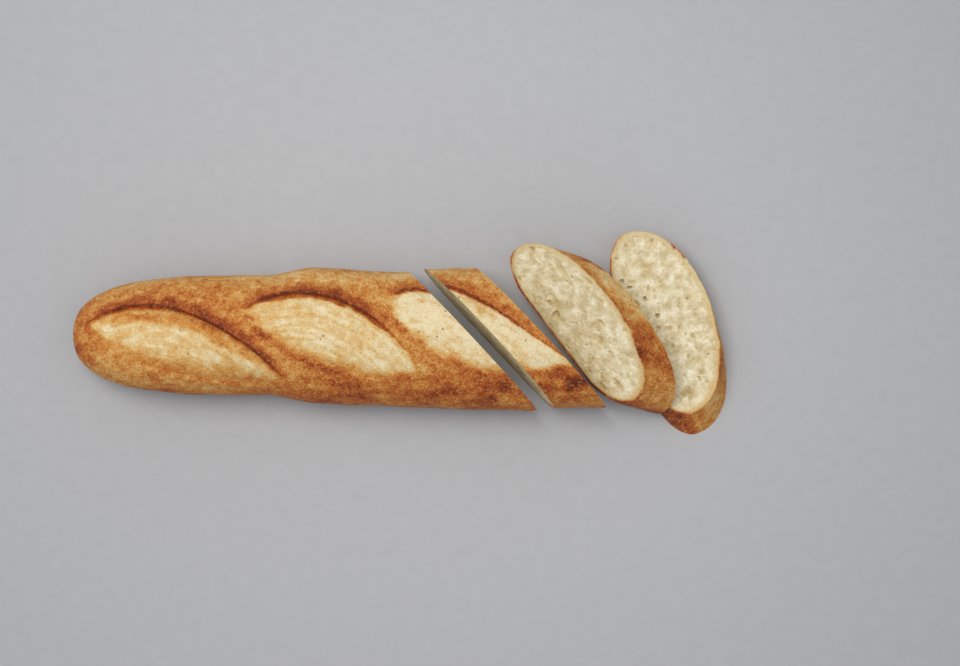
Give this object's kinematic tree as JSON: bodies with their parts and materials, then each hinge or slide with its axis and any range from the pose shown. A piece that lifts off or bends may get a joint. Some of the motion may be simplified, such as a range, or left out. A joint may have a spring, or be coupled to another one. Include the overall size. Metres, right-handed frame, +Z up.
{
  "type": "baguette",
  "caption": "Golden baguette cut on the bias: the heel end of the loaf with its slash openings, and loose slices standing, leaning and lying beside it.",
  "frame": {"origin": "bottom centre of the bounding box of the whole group, on the board", "axes": "+X along the loaf from its heel towards the cut end, +Y across the loaf, +Z up"},
  "size_m": [0.329, 0.1024, 0.0455],
  "materials": {
    "crust": "baked, satin, golden brown",
    "crumb": "matt, soft and porous",
    "bloom": "matt, pale and floury",
    "ear": "baked, satin, dark russet"
  },
  "bodies": {
    "loaf": {"loaf_crust": "crust", "loaf_crumb": "crumb", "loaf_bloom_1": "bloom", "loaf_ear_1": "ear", "loaf_bloom_2": "bloom", "loaf_ear_2": "ear", "loaf_bloom_3": "bloom", "loaf_ear_3": "ear"},
    "slice_1": {"slice_1_crust": "crust", "slice_1_crumb": "crumb", "slice_1_bloom": "bloom", "slice_1_ear": "ear"},
    "slice_2": {"slice_2_crust": "crust", "slice_2_crumb": "crumb", "slice_2_bloom": "bloom", "slice_2_ear": "ear"},
    "slice_3": {"slice_3_crust": "crust", "slice_3_crumb": "crumb", "slice_3_bloom": "bloom", "slice_3_ear": "ear"}
  },
  "joints": [
    {"name": "slice_1_lift", "type": "slide", "parent": "loaf", "child": "slice_1", "axis": [0, 0, 1], "range_m": [0, 0.08]},
    {"name": "slice_2_lift", "type": "slide", "parent": "loaf", "child": "slice_2", "axis": [0, 0, 1], "range_m": [0, 0.08]},
    {"name": "slice_3_slide", "type": "slide", "parent": "loaf", "child": "slice_3", "axis": [1, 0, 0], "range_m": [0, 0.06]}
  ]
}
